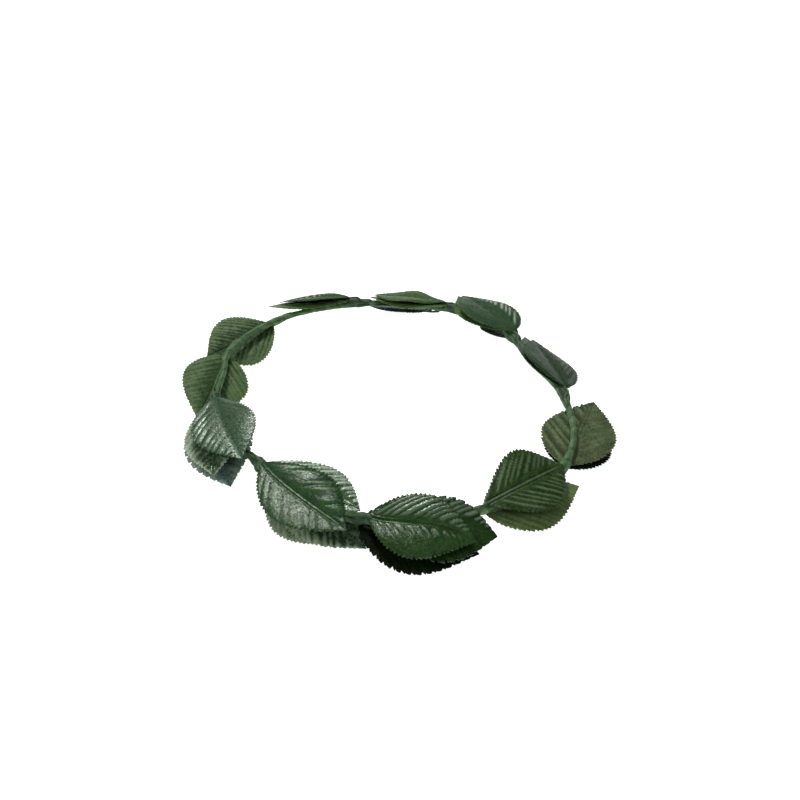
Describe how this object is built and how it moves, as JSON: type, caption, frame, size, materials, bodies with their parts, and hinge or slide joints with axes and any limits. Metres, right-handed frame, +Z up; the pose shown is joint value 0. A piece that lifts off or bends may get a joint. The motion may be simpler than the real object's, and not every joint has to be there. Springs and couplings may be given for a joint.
{
  "type": "laurel wreath crown",
  "caption": "Head wreath of serrated cloth laurel leaves, bound in sprigs on a round taped wire ring that is open in the middle.",
  "frame": {"origin": "middle of the wire ring's opening, on the surface that the wreath lies on", "axes": "+Z up through the ring, +Y towards the side of the ring that is furthest from the camera in the picture, +X to the picture's right"},
  "size_m": [0.2196, 0.2195, 0.0253],
  "materials": {
    "stem_tape": "crinkled floral tape with a soft waxy sheen",
    "leaf_cloth": "stiffened satin with moulded pleats and a fine weave"
  },
  "bodies": {
    "root": {"stem_ring": "stem_tape", "leaf_1a": "leaf_cloth", "leaf_1b": "leaf_cloth", "leaf_2a": "leaf_cloth", "leaf_2b": "leaf_cloth", "leaf_2c": "leaf_cloth", "leaf_3a": "leaf_cloth", "leaf_3b": "leaf_cloth", "leaf_3c": "leaf_cloth", "leaf_4a": "leaf_cloth", "leaf_4b": "leaf_cloth", "leaf_5a": "leaf_cloth", "leaf_5b": "leaf_cloth", "leaf_6a": "leaf_cloth", "leaf_6b": "leaf_cloth", "leaf_7a": "leaf_cloth", "leaf_7b": "leaf_cloth", "leaf_7c": "leaf_cloth", "leaf_8a": "leaf_cloth", "leaf_8b": "leaf_cloth", "leaf_8c": "leaf_cloth", "leaf_8d": "leaf_cloth", "leaf_9a": "leaf_cloth", "leaf_9b": "leaf_cloth", "leaf_9c": "leaf_cloth", "leaf_10a": "leaf_cloth", "leaf_11a": "leaf_cloth"}
  },
  "joints": []
}
